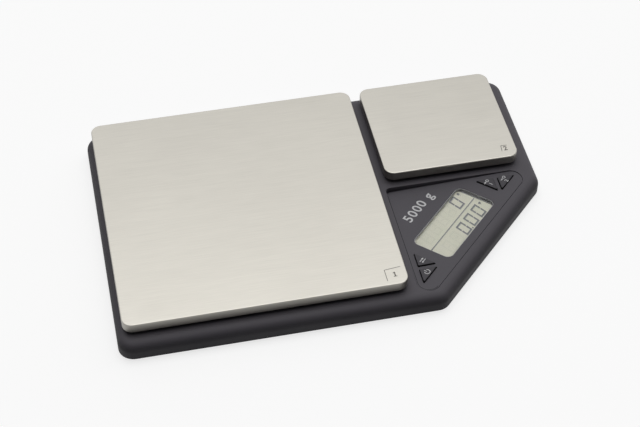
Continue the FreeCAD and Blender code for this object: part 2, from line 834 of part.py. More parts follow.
def make_display():
    window = rounded_block(
        "window_piece", ("0", "window_centre"),
        ("window_half + window_glue", "window_height / 2 + window_glue"),
        "-panel - window", "window", "window_round")
    finish(window, "lcd_window", panel_placement)
    low = ("-display_half", "display_low", "display_bottom")
    glass = box("display_piece", low, ("2 * display_half", "display_high - display_low", "display"))
    finish(group("display_glass", glass), "lcd_glass", panel_placement)
    zebra = box(
        "zebra_piece",
        ("-display_half + zebra_end_gap", "display_high - zebra_width - frame_wall", "board_top"),
        ("2 * (display_half - zebra_end_gap)", "zebra_width", "zebra_height"))
    finish(group("zebra", zebra), "zebra_connector", panel_placement)
    wall = "frame_wall + frame_clearance"
    blank = box(
        "frame_blank", (f"-display_half - ({wall})", f"display_low - ({wall})", "board_top"),
        (f"2 * (display_half + {wall})", f"display_high - display_low + 2 * ({wall})",
         "display_top - board_top"))
    seat = box(
        "frame_seat", ("-display_half - frame_clearance", "display_low - frame_clearance", "display_bottom"),
        ("2 * (display_half + frame_clearance)", "display_high - display_low + 2 * frame_clearance",
         "2 * display"))
    hollow = box(
        "frame_hollow", ("-display_half + frame_shelf", "display_low + frame_shelf", "board_bottom"),
        ("2 * (display_half - frame_shelf)", "display_high - display_low - 2 * frame_shelf",
         "display_top - board_bottom"))
    finish(cut("frame_piece", blank, seat, hollow), "lcd_frame", panel_placement)


# Each small component on the underside of the board: its place along the row, two half sizes and its height
components = (
    (-12, 0.6, 1, 0.7),
    (-8, 2.5, 1, 1.2),
    (5.5, 0.8, 1.6, 0.8),
    (8.5, 0.8, 1.6, 0.8),
    (12, 1.2, 1.2, 1.1),
)


def make_board():
    slant = "(panel_depth - board_margin * root_two)"
    corners = []
    for x, y in (("board_half", "board_front"), ("board_half", f"{slant} - board_half"),
                 (f"{slant} - board_back", "board_back")):
        corners.append((x, y))
    corners += [(f"-({x})", y) for x, y in reversed(corners)]
    plate = prism("board_plate", corners, "board_bottom", "board")
    holes = [
        cylinder(f"board_hole_{index}", "board_screw_radius + screw_hole_clearance", (x, y, "board_bottom"),
                 "board")
        for index, (x, y) in enumerate(board_posts)]
    finish(cut("board_piece", plate, *holes), "circuit_board", panel_placement)
    screws = [
        screw(f"board_screw_{index}", x, y, "board_bottom - board_screw_head", "board_screw_radius",
              "board_screw_head_radius", "board_screw_head", "board + board_screw_depth")
        for index, (x, y) in enumerate(board_posts)]
    finish(group("board_screw_group", *screws), "board_screws", panel_placement)
    chip = cylinder("chip_piece", "chip_radius", ("0", "board_row", "board_top"), "chip_height")
    finish(group("chip", chip), "main_chip", panel_placement)
    parts = []
    for index, (x, half_x, half_y, height) in enumerate(components):
        parts.append(centred_box(
            f"board_part_{index}", (str(x), "component_row"), (str(half_x), str(half_y)),
            f"board_bottom - {height}", str(height)))
    finish(group("board_part_group", *parts), "board_components", panel_placement)


# Places of the wire plugs on the underside of the board, in the panel's frame
plug_places = {"large": (-24, 24), "small": (21, 19), "battery": (-30, 13)}


def make_plugs():
    plugs = [
        centred_box(
            name + "_plug", (str(x), str(y)), ("plug_length / 2", "plug_width / 2"),
            "board_bottom - plug_height", "plug_height")
        for name, (x, y) in plug_places.items()]
    finish(group("plug_group", *plugs), "wire_plugs", panel_placement)


def plug_point(name):
    x, y = plug_places[name]
    return panel_placement.multVec(FreeCAD.Vector(x, y, number("board_bottom - plug_height / 2")))


# Battery compartment

def make_battery():
    places = [f"battery_x {side} (coin_radius + coin_gap / 2)" for side in ("-", "+")]
    coins = [
        cylinder(f"coin_{index}", "coin_radius", (x, "battery_y", "coin_bottom"), "coin_height")
        for index, x in enumerate(places)]
    finish(group("coins", *coins), "coin_cells")
    plate = centred_box(
        "contact_plate", ("battery_x", "battery_y"), ("well_half_x - door_clearance", "contact_width / 2"),
        "well_roof_under - contact", "contact")
    springs = [
        cylinder(
            f"contact_spring_{index}", "contact_width / 4", (x, "battery_y", "coin_top"), "contact_spring")
        for index, x in enumerate(places)]
    finish(fuse("upper_contact", plate, *springs), "battery_contact")
    lower = centred_box(
        "lower_contact", ("battery_x", "battery_y"), ("well_half_x - door_clearance", "contact_width / 2"),
        "door_top", "contact")
    finish(lower, "door_contact")


def make_battery_door():
    plate = box(
        "door_plate", ("door_axis_x", "battery_y - door_half_y", "foot_height"),
        ("battery_x + door_half_x - door_axis_x", "2 * door_half_y", "door"))
    knuckle = cylinder(
        "door_knuckle", "door_knuckle_radius", ("door_axis_x", "battery_y - door_half_y", "door_axis_z"),
        "2 * door_half_y", "y")
    pin = cylinder(
        "door_pin", "door_pin_radius",
        ("door_axis_x", "battery_y - door_half_y - door_pin_length", "door_axis_z"),
        "2 * (door_half_y + door_pin_length)", "y")
    tongue = box(
        "door_tongue", ("battery_x + door_half_x - latch", "battery_y - latch_width / 2", "foot_height"),
        ("latch", "latch_width", "door + latch_height"))
    finish(fuse("door_piece", plate, knuckle, pin, tongue), "battery_door")


# Wires: straight runs joined by arcs that touch both runs

def make_wire(name, points):
    points = [FreeCAD.Vector(*[number(value) for value in point]) for point in points]
    edges = []
    start = points[0]
    radii = []
    for before, corner, after in zip(points, points[1:], points[2:]):
        arriving = (corner - before).normalize()
        leaving = (after - corner).normalize()
        turn = arriving.getAngle(leaving)
        setback = 0.45 * min((corner - before).Length, (after - corner).Length)
        radius = setback / math.tan(turn / 2)
        radii.append(round(radius, 1))
        first = corner - arriving * setback
        last = corner + leaving * setback
        inward = (leaving - arriving).normalize()
        middle = corner + inward * (radius / math.cos(turn / 2) - radius)
        edges.append(Part.LineSegment(start, first).toShape())
        edges.append(Part.Arc(first, middle, last).toShape())
        start = last
    edges.append(Part.LineSegment(start, points[-1]).toShape())
    path = Part.Wire(edges)
    direction = points[1] - points[0]
    ring = Part.Wire([Part.Circle(points[0], direction, number("wire_radius")).toShape()])
    tube = path.makePipeShell([ring], True, True)
    expected = math.pi * number("wire_radius") ** 2 * path.Length
    print(name, "radii", radii, "length", round(path.Length, 1))
    print(name, "volume over section times length", round(tube.Volume / expected, 4))
    thing = doc.addObject("Part::Feature", name)
    thing.Shape = tube
    finish(thing, name)


def make_wires():
    seal_y = "{0}_y - {0}_beam_width / 2 - sealant / 2"
    seal_end = "{0}_x + sealant_length / 2"
    height = "beam_bottom + beam_height / 2"
    low = "floor_top + wire_height"
    end = plug_point("large")
    make_wire("large_cell_wire", [
        (seal_end.format("large") + " - 1", seal_y.format("large"), height),
        (seal_end.format("large") + " + 12", seal_y.format("large") + " - 2", height + " - 0.8"),
        (seal_end.format("large") + " + 27", seal_y.format("large") + " - 3", low),
        (end.x - 47, end.y + 24, low),
        (end.x - 34, end.y + 10, low),
        (end.x - 18, end.y + 2, low),
        (end.x, end.y, end.z),
    ])
    end = plug_point("small")
    make_wire("small_cell_wire", [
        (seal_end.format("small") + " - 1", seal_y.format("small"), height),
        (seal_end.format("small") + " + 7", seal_y.format("small") + " - 1.5", height + " - 0.8"),
        (seal_end.format("small") + " + 12", seal_y.format("small") + " - 9", low),
        (end.x + 9, end.y + 27, low),
        (end.x + 3, end.y + 13, low),
        (end.x, end.y, end.z),
    ])
    end = plug_point("battery")
    make_wire("battery_wire", [
        ("battery_x + door_half_x + well_wall + wire_radius / 2", "battery_y - 1", low),
        ("battery_x + door_half_x + 16", "battery_y - 5", low),
        ("battery_x + door_half_x + 34", "battery_y - 3", low),
        (end.x - 33, end.y - 1, low),
        (end.x - 16, end.y + 1, low),
        (end.x, end.y, end.z),
    ])


make_top_housing()
make_bottom_cover()
make_feet()
make_housing_screws()
make_platform("large", "large_side / 2", "large_side / 2")
make_platform("small", "small_width / 2", "small_depth / 2")
make_beam("large")
make_beam("small")
make_control_panel()
for key in keys:
    make_key(*key)
make_switches()
make_display()
make_board()
make_plugs()
make_battery()
make_battery_door()
make_wires()
doc.recompute()

for thing in doc.Objects:
    if "Invalid" in thing.State or "Error" in thing.State:
        raise RuntimeError(f"{thing.Label} failed: {thing.State}")
for node in nodes:
    if node.Shape.isNull() or not node.Shape.isValid():
        raise RuntimeError(f"{node.Label} has no valid shape")
for node in nodes:
    node.Shape.exportStep(f"parts/{node.Label}.step")
    print(node.Label, len(node.Shape.Solids), "solids", round(node.Shape.Volume, 1), "mm3")
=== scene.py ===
import json
import math
import bmesh
import bpy
from mathutils import Euler, Matrix, Vector

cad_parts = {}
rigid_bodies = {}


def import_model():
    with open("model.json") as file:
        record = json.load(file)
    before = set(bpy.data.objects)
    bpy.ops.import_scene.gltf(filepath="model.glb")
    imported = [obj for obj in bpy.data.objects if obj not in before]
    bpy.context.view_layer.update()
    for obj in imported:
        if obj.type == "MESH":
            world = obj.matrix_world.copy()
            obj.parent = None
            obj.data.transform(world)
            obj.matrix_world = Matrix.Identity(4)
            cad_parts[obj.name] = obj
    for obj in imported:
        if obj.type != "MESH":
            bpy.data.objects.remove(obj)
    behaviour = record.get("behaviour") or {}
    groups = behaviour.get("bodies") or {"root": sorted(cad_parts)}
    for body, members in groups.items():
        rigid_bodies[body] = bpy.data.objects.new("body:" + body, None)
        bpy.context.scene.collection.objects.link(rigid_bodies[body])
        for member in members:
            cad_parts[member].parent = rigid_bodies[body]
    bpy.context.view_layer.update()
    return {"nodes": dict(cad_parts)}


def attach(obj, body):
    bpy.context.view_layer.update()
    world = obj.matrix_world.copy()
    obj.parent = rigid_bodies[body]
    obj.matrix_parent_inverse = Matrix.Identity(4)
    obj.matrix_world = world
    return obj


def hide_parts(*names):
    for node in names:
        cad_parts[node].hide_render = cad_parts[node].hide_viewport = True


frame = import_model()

nodes = frame["nodes"]
mm = 0.001

for stray in [item for item in bpy.data.objects if item.name in ("Cube", "Light", "Camera")]:
    bpy.data.objects.remove(stray)
print("scale frame loaded:", len(nodes), "parts")


def startMaterial(name):
    material = bpy.data.materials.new(name)
    material.use_nodes = True
    tree = material.node_tree
    shader = tree.nodes["Principled BSDF"]
    return material, tree, shader


def feed(tree, source, target):
    tree.links.new(source, target)


def gridPosition(tree, scale):
    # the piece's own position, stretched, so that a finish stays on the piece when it moves
    place = tree.nodes.new("ShaderNodeTexCoord")
    stretch = tree.nodes.new("ShaderNodeMapping")
    stretch.inputs["Scale"].default_value = scale
    feed(tree, place.outputs["Object"], stretch.inputs["Vector"])
    return stretch.outputs["Vector"]


def cloud(tree, position, scale, detail=3.0, roughness=0.5):
    noise = tree.nodes.new("ShaderNodeTexNoise")
    noise.inputs["Scale"].default_value = scale
    noise.inputs["Detail"].default_value = detail
    noise.inputs["Roughness"].default_value = roughness
    feed(tree, position, noise.inputs["Vector"])
    return noise.outputs["Fac"]


def spread(tree, value, low, high, fromLow=0.3, fromHigh=0.7):
    ranger = tree.nodes.new("ShaderNodeMapRange")
    ranger.inputs["From Min"].default_value = fromLow
    ranger.inputs["From Max"].default_value = fromHigh
    ranger.inputs["To Min"].default_value = low
    ranger.inputs["To Max"].default_value = high
    feed(tree, value, ranger.inputs["Value"])
    return ranger.outputs["Result"]


def sums(tree, operation, first, second):
    node = tree.nodes.new("ShaderNodeMath")
    node.operation = operation
    for socket, value in ((node.inputs[0], first), (node.inputs[1], second)):
        if isinstance(value, (int, float)):
            socket.default_value = value
        else:
            feed(tree, value, socket)
    return node.outputs[0]


def twoTone(tree, factor, dark, light):
    mixer = tree.nodes.new("ShaderNodeMix")
    mixer.data_type = "RGBA"
    mixer.inputs[6].default_value = (*dark, 1.0)
    mixer.inputs[7].default_value = (*light, 1.0)
    feed(tree, factor, mixer.inputs[0])
    return mixer.outputs[2]


def relief(tree, shader, height, distance, strength=1.0):
    bump = tree.nodes.new("ShaderNodeBump")
    bump.inputs["Strength"].default_value = strength
    bump.inputs["Distance"].default_value = distance
    feed(tree, height, bump.inputs["Height"])
    feed(tree, bump.outputs["Normal"], shader.inputs["Normal"])


def shade(colour, factor):
    return tuple(channel * factor for channel in colour)


def sideShadeMix(tree, colour, sideShadeColour, sideShadeTop=None, sideShadeFade=None):
    # painted shade: a far darker second colour for the sides, standing in for the little light they get, told
    # by height below the given top or else by how far a face looks up
    place = tree.nodes.new("ShaderNodeTexCoord")
    height = tree.nodes.new("ShaderNodeSeparateXYZ")
    feed(tree, place.outputs["Normal" if sideShadeTop is None else "Object"], height.inputs[0])
    first, last = (0.35, 0.92) if sideShadeTop is None else (sideShadeTop - sideShadeFade, sideShadeTop)
    side = spread(tree, height.outputs["Z"], 0.0, 1.0, first, last)
    mixer = tree.nodes.new("ShaderNodeMix")
    mixer.data_type = "RGBA"
    feed(tree, side, mixer.inputs[0])
    mixer.inputs[6].default_value = (*sideShadeColour, 1.0)
    feed(tree, colour, mixer.inputs[7])
    return mixer.outputs[2], side


def mouldedPlastic(name, look):
    # moulded plastic: a fine spark-eroded grain, faint flow clouds and a mild sheen change
    material, tree, shader = startMaterial(name)
    position = gridPosition(tree, (1.0, 1.0, 1.0))
    broad = cloud(tree, position, look["cloudScale"], 2.0)
    grain = cloud(tree, position, look["grainScale"], 2.0, 0.6)
    blend = sums(tree, "ADD", sums(tree, "MULTIPLY", broad, 0.6), sums(tree, "MULTIPLY", grain, 0.4))
    colour = twoTone(tree, spread(tree, blend, 0.0, 1.0), shade(look["colour"], 1 - look["vary"]),
                     shade(look["colour"], 1 + look["vary"]))
    rough = spread(tree, blend, look["roughness"] - 0.05, look["roughness"] + 0.05)
    if "sideShadeColour" in look:
        # painted shade: the sides are coloured much darker than the grained top, for the light they miss; the
        # mould grain is also left off the smooth sides
        colour, side = sideShadeMix(tree, colour, look["sideShadeColour"], look.get("sideShadeTop"), look.get("sideShadeFade"))
        grain = sums(tree, "MULTIPLY", grain, side)
    feed(tree, colour, shader.inputs["Base Color"])
    feed(tree, rough, shader.inputs["Roughness"])
    shader.inputs["IOR"].default_value = look.get("ior", 1.5)
    relief(tree, shader, grain, look["grainDepth"], 0.6)
    return material


def brushedSteel(name, look):
    # long fine brush lines along X, a few wider pale and dark streaks, and soft rolling clouds
    material, tree, shader = startMaterial(name)
    fineLines = cloud(tree, gridPosition(tree, (60.0, 5200.0, 5200.0)), 1.0, 2.0, 0.65)
    midLines = cloud(tree, gridPosition(tree, (34.0, 2100.0, 2100.0)), 1.0, 3.0, 0.6)
    wideLines = cloud(tree, gridPosition(tree, (20.0, 330.0, 330.0)), 1.0, 3.0, 0.6)
    clouds = cloud(tree, gridPosition(tree, (1.0, 1.0, 1.0)), 26.0, 2.0, 0.5)
    streak = sums(tree, "ADD", sums(tree, "MULTIPLY", fineLines, 0.42),
                  sums(tree, "MULTIPLY", midLines, 0.34))
    streak = sums(tree, "ADD", streak, sums(tree, "MULTIPLY", wideLines, 0.12))
    streak = sums(tree, "ADD", streak, sums(tree, "MULTIPLY", clouds, 0.12))
    colour = twoTone(tree, spread(tree, streak, 0.0, 1.0, 0.34, 0.66),
                     shade(look["colour"], 1 - look["vary"]), shade(look["colour"], 1 + look["vary"]))
    # painted shade: faces that don't look up, such as the skirt, get a darker steel colour standing in for
    # the dark surroundings they reflect
    if "sideShadeColour" in look:
        colour = sideShadeMix(tree, colour, look["sideShadeColour"])[0]
    feed(tree, colour, shader.inputs["Base Color"])
    feed(tree, spread(tree, streak, look["roughness"] - 0.025, look["roughness"] + 0.025, 0.38, 0.62),
         shader.inputs["Roughness"])
    shader.inputs["Metallic"].default_value = 1.0
    height = sums(tree, "ADD", fineLines, sums(tree, "MULTIPLY", midLines, 0.7))
    relief(tree, shader, height, look["lineDepth"], 0.5)
    return material


def workedMetal(name, look):
    # turned or rolled metal: fine tool marks, slight tarnish and a soft spread of gloss
    material, tree, shader = startMaterial(name)
    marks = cloud(tree, gridPosition(tree, look["markStretch"]), 1.0, 3.0, 0.6)
    tarnish = cloud(tree, gridPosition(tree, (1.0, 1.0, 1.0)), look["tarnishScale"], 3.0)
    blend = sums(tree, "ADD", sums(tree, "MULTIPLY", marks, 0.5), sums(tree, "MULTIPLY", tarnish, 0.5))
    colour = twoTone(tree, spread(tree, blend, 0.0, 1.0, 0.35, 0.65),
                     shade(look["colour"], 1 - look["vary"]), shade(look["colour"], 1 + look["vary"]))
    feed(tree, colour, shader.inputs["Base Color"])
    feed(tree, spread(tree, blend, look["roughness"] - 0.08, look["roughness"] + 0.08),
         shader.inputs["Roughness"])
    shader.inputs["Metallic"].default_value = 1.0
    relief(tree, shader, marks, look["markDepth"], 0.5)
    return material


def softRubber(name, look):
    # rubber or foam: open pores, a dusty bloom and almost no gloss
    material, tree, shader = startMaterial(name)
    position = gridPosition(tree, (1.0, 1.0, 1.0))
    pores = tree.nodes.new("ShaderNodeTexVoronoi")
    pores.inputs["Scale"].default_value = look["poreScale"]
    feed(tree, position, pores.inputs["Vector"])
    bloom = cloud(tree, position, look["bloomScale"], 3.0)
    colour = twoTone(tree, spread(tree, bloom, 0.0, 1.0), shade(look["colour"], 1 - look["vary"]),
                     shade(look["colour"], 1 + look["vary"]))
    feed(tree, colour, shader.inputs["Base Color"])
    feed(tree, spread(tree, bloom, look["roughness"] - 0.06, look["roughness"] + 0.06),
         shader.inputs["Roughness"])
    shader.inputs["IOR"].default_value = 1.45
    relief(tree, shader, pores.outputs["Distance"], look["poreDepth"], 0.7)
    return material


def clearWindow(name, look):
    # the clear lens: polished, with the faintest waviness of moulded acrylic
    material, tree, shader = startMaterial(name)
    ripple = cloud(tree, gridPosition(tree, (1.0, 1.0, 1.0)), look["rippleScale"], 1.0)
    smear = cloud(tree, gridPosition(tree, (1.0, 1.0, 1.0)), look["smearScale"], 2.0)
    feed(tree, twoTone(tree, spread(tree, smear, 0.0, 1.0), look["tint"], (1.0, 1.0, 1.0)),
         shader.inputs["Base Color"])
    feed(tree, spread(tree, smear, 0.0, look["smearGloss"]), shader.inputs["Roughness"])
    shader.inputs["Transmission Weight"].default_value = 1.0
    shader.inputs["IOR"].default_value = 1.45
    relief(tree, shader, ripple, look["rippleDepth"], 0.3)
    return material


def displayFace(name, look):
    # the unlit liquid crystal face: a pale greenish foil behind glass, with a very fine sparkle
    material, tree, shader = startMaterial(name)
    position = gridPosition(tree, (1.0, 1.0, 1.0))
    broad = cloud(tree, position, 45.0, 2.0)
    sparkle = cloud(tree, position, 2600.0, 2.0, 0.7)
    blend = sums(tree, "ADD", sums(tree, "MULTIPLY", broad, 0.5), sums(tree, "MULTIPLY", sparkle, 0.5))
    colour = twoTone(tree, spread(tree, blend, 0.0, 1.0), shade(look["colour"], 1 - look["vary"]),
                     shade(look["colour"], 1 + look["vary"]))
    feed(tree, colour, shader.inputs["Base Color"])
    feed(tree, spread(tree, sparkle, look["roughness"] - 0.05, look["roughness"] + 0.05),
         shader.inputs["Roughness"])
    shader.inputs["IOR"].default_value = 1.5
    relief(tree, shader, sparkle, 0.000004, 0.4)
    return material


def boardLaminate(name, look):
    # green solder mask over copper tracks: the tracks show as slightly raised, paler lanes
    material, tree, shader = startMaterial(name)
    position = gridPosition(tree, (1.0, 1.0, 1.0))
    lanes = tree.nodes.new("ShaderNodeTexBrick")
    lanes.inputs["Scale"].default_value = look["laneScale"]
    lanes.inputs["Mortar Size"].default_value = 0.03
    feed(tree, position, lanes.inputs["Vector"])
    weave = cloud(tree, position, 1800.0, 2.0)
    factor = sums(tree, "ADD", sums(tree, "MULTIPLY", lanes.outputs["Fac"], 0.6),
                  sums(tree, "MULTIPLY", weave, 0.4))
    feed(tree, twoTone(tree, factor, look["mask"], look["track"]), shader.inputs["Base Color"])
    feed(tree, spread(tree, weave, 0.28, 0.42), shader.inputs["Roughness"])
    relief(tree, shader, factor, 0.00003, 0.5)
    return material


def printedInk(name, look):
    # pad-printed ink: opaque, faintly mottled where it lies on the moulded grain
    material, tree, shader = startMaterial(name)
    mottle = cloud(tree, gridPosition(tree, (1.0, 1.0, 1.0)), look["mottleScale"], 2.0, 0.6)
    feed(tree, twoTone(tree, spread(tree, mottle, 0.0, 1.0), shade(look["colour"], 1 - look["vary"]),
                       shade(look["colour"], 1 + look["vary"])), shader.inputs["Base Color"])
    feed(tree, spread(tree, mottle, look["roughness"] - 0.05, look["roughness"] + 0.05),
         shader.inputs["Roughness"])
    relief(tree, shader, mottle, 0.000008, 0.5)
    return material


# the side colours of the housing, panel and keys are painted shade, far darker than their tops
plasticLooks = {
    "housing_plastic": {"colour": (0.1060, 0.0990, 0.1130), "vary": 0.06, "roughness": 0.60, "ior": 1.38,
                        "sideShadeColour": (0.0150, 0.0135, 0.0180), "sideShadeTop": 0.0112, "sideShadeFade": 0.0035,
                        "cloudScale": 30.0, "grainScale": 2300.0, "grainDepth": 0.000030},
    "panel_plastic": {"colour": (0.1080, 0.1020, 0.1160), "vary": 0.05, "roughness": 0.60, "ior": 1.38,
                      "sideShadeColour": (0.0080, 0.0075, 0.0090),
                      "cloudScale": 35.0, "grainScale": 2600.0, "grainDepth": 0.000022},
    "key_plastic": {"colour": (0.0760, 0.0720, 0.0820), "vary": 0.05, "roughness": 0.56, "ior": 1.38,
                    "sideShadeColour": (0.0060, 0.0058, 0.0066),
                    "cloudScale": 60.0, "grainScale": 2600.0, "grainDepth": 0.000016},
    "cover_plastic": {"colour": (0.0240, 0.0235, 0.0260), "vary": 0.12, "roughness": 0.58,
                      "cloudScale": 26.0, "grainScale": 1500.0, "grainDepth": 0.000045},
    "carrier_plastic": {"colour": (0.0200, 0.0200, 0.0210), "vary": 0.12, "roughness": 0.55,
                        "cloudScale": 30.0, "grainScale": 1800.0, "grainDepth": 0.000030},
    "frame_plastic": {"colour": (0.045, 0.045, 0.048), "vary": 0.10, "roughness": 0.50,
                      "cloudScale": 60.0, "grainScale": 2200.0, "grainDepth": 0.000020},
    "plug_nylon": {"colour": (0.72, 0.70, 0.62), "vary": 0.05, "roughness": 0.45,
                   "cloudScale": 90.0, "grainScale": 2500.0, "grainDepth": 0.000010},
    "component_body": {"colour": (0.33, 0.24, 0.15), "vary": 0.12, "roughness": 0.45,
                       "cloudScale": 260.0, "grainScale": 3500.0, "grainDepth": 0.000010},
    "chip_resin": {"colour": (0.018, 0.018, 0.018), "vary": 0.15, "roughness": 0.30,
                   "cloudScale": 120.0, "grainScale": 1800.0, "grainDepth": 0.000020},
    "switch_body": {"colour": (0.030, 0.030, 0.032), "vary": 0.12, "roughness": 0.48,
                    "cloudScale": 200.0, "grainScale": 3000.0, "grainDepth": 0.000010},
    "plunger": {"colour": (0.055, 0.050, 0.048), "vary": 0.10, "roughness": 0.50,
                "cloudScale": 200.0, "grainScale": 3000.0, "grainDepth": 0.000010},
    "wire_sleeve": {"colour": (0.16, 0.16, 0.17), "vary": 0.10, "roughness": 0.42,
                    "cloudScale": 120.0, "grainScale": 2600.0, "grainDepth": 0.000010},
    "wire_red": {"colour": (0.42, 0.030, 0.022), "vary": 0.10, "roughness": 0.42,
                 "cloudScale": 120.0, "grainScale": 2600.0, "grainDepth": 0.000010},
    "sealant": {"colour": (0.72, 0.72, 0.70), "vary": 0.06, "roughness": 0.35,
                "cloudScale": 180.0, "grainScale": 900.0, "grainDepth": 0.000060},
}
rubberLooks = {
    "foot_rubber": {"colour": (0.020, 0.020, 0.021), "vary": 0.20, "roughness": 0.82,
                    "poreScale": 1800.0, "bloomScale": 240.0, "poreDepth": 0.00005},
    "adhesive_foam": {"colour": (0.060, 0.060, 0.062), "vary": 0.18, "roughness": 0.92,
                      "poreScale": 2600.0, "bloomScale": 300.0, "poreDepth": 0.00012},
    "zebra_rubber": {"colour": (0.35, 0.34, 0.36), "vary": 0.20, "roughness": 0.75,
                     "poreScale": 4000.0, "bloomScale": 900.0, "poreDepth": 0.00002},
}
metalLooks = {
    "cell_aluminium": {"colour": (0.74, 0.74, 0.75), "vary": 0.05, "roughness": 0.34,
                       "markStretch": (40.0, 1500.0, 1500.0), "tarnishScale": 60.0, "markDepth": 0.00001},
    "spacer_steel": {"colour": (0.52, 0.51, 0.49), "vary": 0.08, "roughness": 0.38,
                     "markStretch": (900.0, 900.0, 900.0), "tarnishScale": 150.0, "markDepth": 0.00001},
    "screw_steel": {"colour": (0.50, 0.49, 0.47), "vary": 0.10, "roughness": 0.32,
                    "markStretch": (1500.0, 1500.0, 300.0), "tarnishScale": 300.0, "markDepth": 0.000008},
    "coin_steel": {"colour": (0.66, 0.65, 0.62), "vary": 0.05, "roughness": 0.24,
                   "markStretch": (400.0, 2200.0, 400.0), "tarnishScale": 90.0, "markDepth": 0.000004},
    "contact_nickel": {"colour": (0.63, 0.60, 0.54), "vary": 0.07, "roughness": 0.26,
                       "markStretch": (300.0, 1800.0, 300.0), "tarnishScale": 120.0, "markDepth": 0.000005},
}
finishes = {}
for slotName, look in plasticLooks.items():
    finishes[slotName] = mouldedPlastic(slotName + "Finish", look)
for slotName, look in rubberLooks.items():
    finishes[slotName] = softRubber(slotName + "Finish", look)
for slotName, look in metalLooks.items():
    finishes[slotName] = workedMetal(slotName + "Finish", look)
# the steel's side colour is painted shade on the skirt
finishes["platform_steel"] = brushedSteel(
    "platformSteelFinish", {"colour": (0.640, 0.617, 0.560), "vary": 0.075, "roughness": 0.34,
                            "sideShadeColour": (0.330, 0.318, 0.290),
                            "lineDepth": 0.000004})
finishes["window_clear"] = clearWindow(
    "windowClearFinish", {"tint": (0.97, 0.98, 0.965), "rippleScale": 60.0, "rippleDepth": 0.00002,
                          "smearScale": 120.0, "smearGloss": 0.03})
finishes["display_glass"] = displayFace(
    "displayFaceFinish", {"colour": (0.690, 0.680, 0.560), "vary": 0.02, "roughness": 0.45})
finishes["board_laminate"] = boardLaminate(
    "boardLaminateFinish", {"mask": (0.010, 0.075, 0.030), "track": (0.030, 0.150, 0.055),
                            "laneScale": 220.0})
for node in nodes.values():
    for socketSlot in node.material_slots:
        if socketSlot.material and socketSlot.material.name in finishes:
            socketSlot.material = finishes[socketSlot.material.name]
print("finishes ready:", len(finishes))


panelFrame = (Matrix.Translation(Vector((84.08, -42.48, 12.0)) * mm)
              @ Matrix.Rotation(math.radians(45.0), 4, "Z") @ Matrix.Rotation(math.radians(-3.0), 4, "X"))


def addPiece(name, mesh, material, body):
    piece = bpy.data.objects.new(name, mesh)
    bpy.context.scene.collection.objects.link(piece)
    if not mesh.materials:
        mesh.materials.append(material)
    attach(piece, body)
    return piece


def slabMesh(name, outlines, low, high, frameMatrix=None):
    # thin raised slabs from flat outlines, given in millimetres
    shape = bmesh.new()
    for outline in outlines:
        bottom = [shape.verts.new((x * mm, y * mm, low * mm)) for x, y in outline]
        top = [shape.verts.new((x * mm, y * mm, high * mm)) for x, y in outline]
        shape.faces.new(list(reversed(bottom)))
        shape.faces.new(top)
        count = len(outline)
        for index in range(count):
            after = (index + 1) % count
            shape.faces.new((bottom[index], bottom[after], top[after], top[index]))
    if frameMatrix:
        bmesh.ops.transform(shape, matrix=frameMatrix, verts=shape.verts)
    bmesh.ops.recalc_face_normals(shape, faces=shape.faces)
    mesh = bpy.data.meshes.new(name)
    shape.to_mesh(mesh)
    shape.free()
    return mesh


def strokeOutline(start, end, width):
    # one straight stroke with square ends
    startPoint, endPoint = Vector(start), Vector(end)
    along = (endPoint - startPoint).normalized()
    side = Vector((-along.y, along.x)) * width / 2
    return [tuple(startPoint - side), tuple(endPoint - side), tuple(endPoint + side),
            tuple(startPoint + side)]


def arcStrokes(centre, radius, fromAngle, toAngle, width, steps=18):
    # a curved stroke as one ring-shaped outline per step
    outlines = []
    for index in range(steps):
        first = math.radians(fromAngle + (toAngle - fromAngle) * index / steps)
        second = math.radians(fromAngle + (toAngle - fromAngle) * (index + 1) / steps)
        inner, outer = radius - width / 2, radius + width / 2
        corners = ((inner, first), (outer, first), (outer, second), (inner, second))
        outlines.append([(centre[0] + size * math.cos(angle), centre[1] + size * math.sin(angle))
                         for size, angle in corners])
    return outlines


def lettering(name, words, height, placeMatrix, material, body, thickness=0.02, spacing=1.0, weight=0.0):
    # plain built-in lettering, thickness and height in millimetres
    curve = bpy.data.curves.new(name, "FONT")
    curve.body = words
    curve.size = height * mm / 0.70
    curve.space_character = spacing
    curve.align_x = "CENTER"
    curve.align_y = "CENTER"
    curve.extrude = thickness * mm / 2
    curve.offset = weight * mm
    curve.resolution_u = 6
    maker = bpy.data.objects.new(name + "Maker", curve)
    bpy.context.scene.collection.objects.link(maker)
    bpy.context.view_layer.update()
    mesh = bpy.data.meshes.new_from_object(maker.evaluated_get(bpy.context.evaluated_depsgraph_get()))
    bpy.data.objects.remove(maker)
    mesh.name = name
    mesh.transform(placeMatrix)
    mesh.materials.clear()
    return addPiece(name, mesh, material, body)


def flatPlace(x, y, z, turn=0.0):
    return Matrix.Translation(Vector((x, y, z)) * mm) @ Matrix.Rotation(math.radians(turn), 4, "Z")


def panelPlace(u, v, w, turn=0.0):
    return panelFrame @ flatPlace(u, v, w, turn)


platformMarks = {"numberLine": 0.62, "sink": 0.02, "line": 0.36, "numberHeight": 3.4,
                 "large": {"corner": (20.8, -65.6), "across": (30.2, -64.6), "down": (20.9, -73.8),
                           "number": (26.0, -69.6)},
                 "small": {"corner": (112.4, 17.0), "across": (116.1, 16.8), "down": (111.9, 12.4),
                           "number": (114.5, 14.2)}}
etchFinish = printedInk("laserEtchFinish", {"colour": (0.16, 0.15, 0.135), "vary": 0.10, "roughness": 0.55,
                                            "mottleScale": 2500.0})


